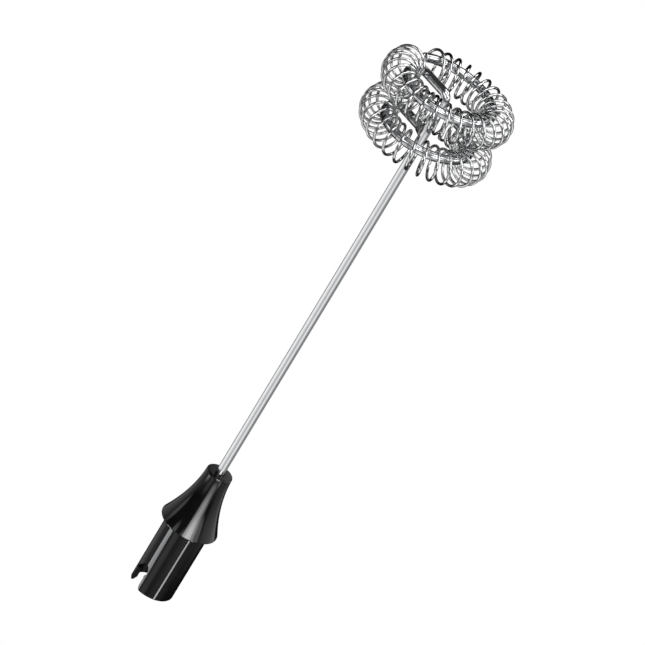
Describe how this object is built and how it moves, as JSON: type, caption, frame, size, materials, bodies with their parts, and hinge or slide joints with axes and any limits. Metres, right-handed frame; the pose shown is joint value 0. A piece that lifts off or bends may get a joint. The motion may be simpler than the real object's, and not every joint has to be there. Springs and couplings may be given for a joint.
{
  "type": "milk frother whisk",
  "caption": "Long straight steel rod carrying stacked rings wrapped in coil spring, turning in a flared black plug-in hub with a bayonet notch.",
  "frame": {"origin": "centre of the collar's seat plane, where the plug shank meets the flared nose; the handle holds the part there", "axes": "+Z along the rod from the hub to the whisk; the spokes point to azimuth 144 degrees from +X and the bayonet notch faces azimuth 221.5 degrees"},
  "size_m": [0.0376, 0.037, 0.1739],
  "materials": {
    "hub_plastic": "gloss",
    "polished_steel": "polished",
    "spring_wire": "polished",
    "spring_steel": "satin",
    "bearing_bronze": "satin",
    "seal_rubber": "matt",
    "white_acetal": "satin"
  },
  "bodies": {
    "hub": {"nose_cone": "hub_plastic", "coupling_sleeve": "hub_plastic", "joint_o_ring": "seal_rubber", "upper_bush": "bearing_bronze", "lower_bush": "bearing_bronze", "lip_seal": "seal_rubber"},
    "whisk": {"shaft_and_upper_ring": "polished_steel", "lower_ring": "polished_steel", "lower_ring_weld": "polished_steel", "upper_clip": "spring_steel", "lower_clip": "spring_steel", "upper_thrust_washer": "white_acetal", "lower_thrust_washer": "white_acetal", "drive_dog": "white_acetal", "dog_pin": "spring_steel"},
    "upper_spring": {"upper_coil": "spring_wire"},
    "lower_spring": {"lower_coil": "spring_wire"}
  },
  "joints": [
    {"name": "whisk_spin", "type": "hinge", "parent": "hub", "child": "whisk", "pos_m": [0, 0, 0], "axis": [0, 0, 1], "continuous": true},
    {"name": "upper_spring_creep", "type": "hinge", "parent": "whisk", "child": "upper_spring", "pos_m": [0, 0, 0.1465], "axis": [0, 0, 1], "range_deg": [0, 10]},
    {"name": "lower_spring_creep", "type": "hinge", "parent": "whisk", "child": "lower_spring", "pos_m": [0, 0, 0.1345], "axis": [0, 0, 1], "range_deg": [0, 10]}
  ]
}
